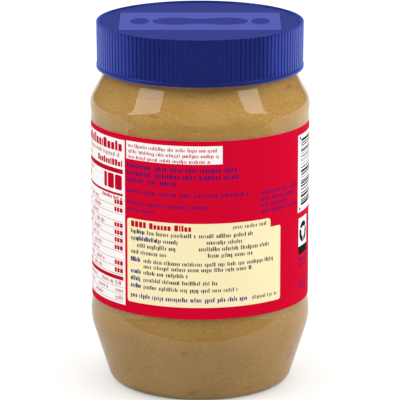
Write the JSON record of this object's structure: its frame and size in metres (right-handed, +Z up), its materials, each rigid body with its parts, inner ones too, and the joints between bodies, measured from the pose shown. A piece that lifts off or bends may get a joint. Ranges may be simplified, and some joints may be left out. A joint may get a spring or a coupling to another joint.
{
  "type": "peanut butter jar",
  "caption": "Wide-mouth clear plastic jar filled with peanut butter, with a ribbed blue screw lid and a red wrap-around label; stands on its base.",
  "frame": {"origin": "on the jar's axis, in the plane that its base stands on", "axes": "+Z up along the jar's axis, -Y towards the side of the label that is shown"},
  "size_m": [0.1008, 0.1008, 0.1691],
  "materials": {
    "clear_plastic": "clear, glossy",
    "peanut_butter": "smooth paste with fine flecks",
    "label_film": "printed film, satin",
    "lid_plastic": "moulded, satin"
  },
  "bodies": {
    "root": {"jar": "clear_plastic", "peanut_butter": "peanut_butter", "label": "label_film", "lid": "lid_plastic"}
  },
  "joints": []
}
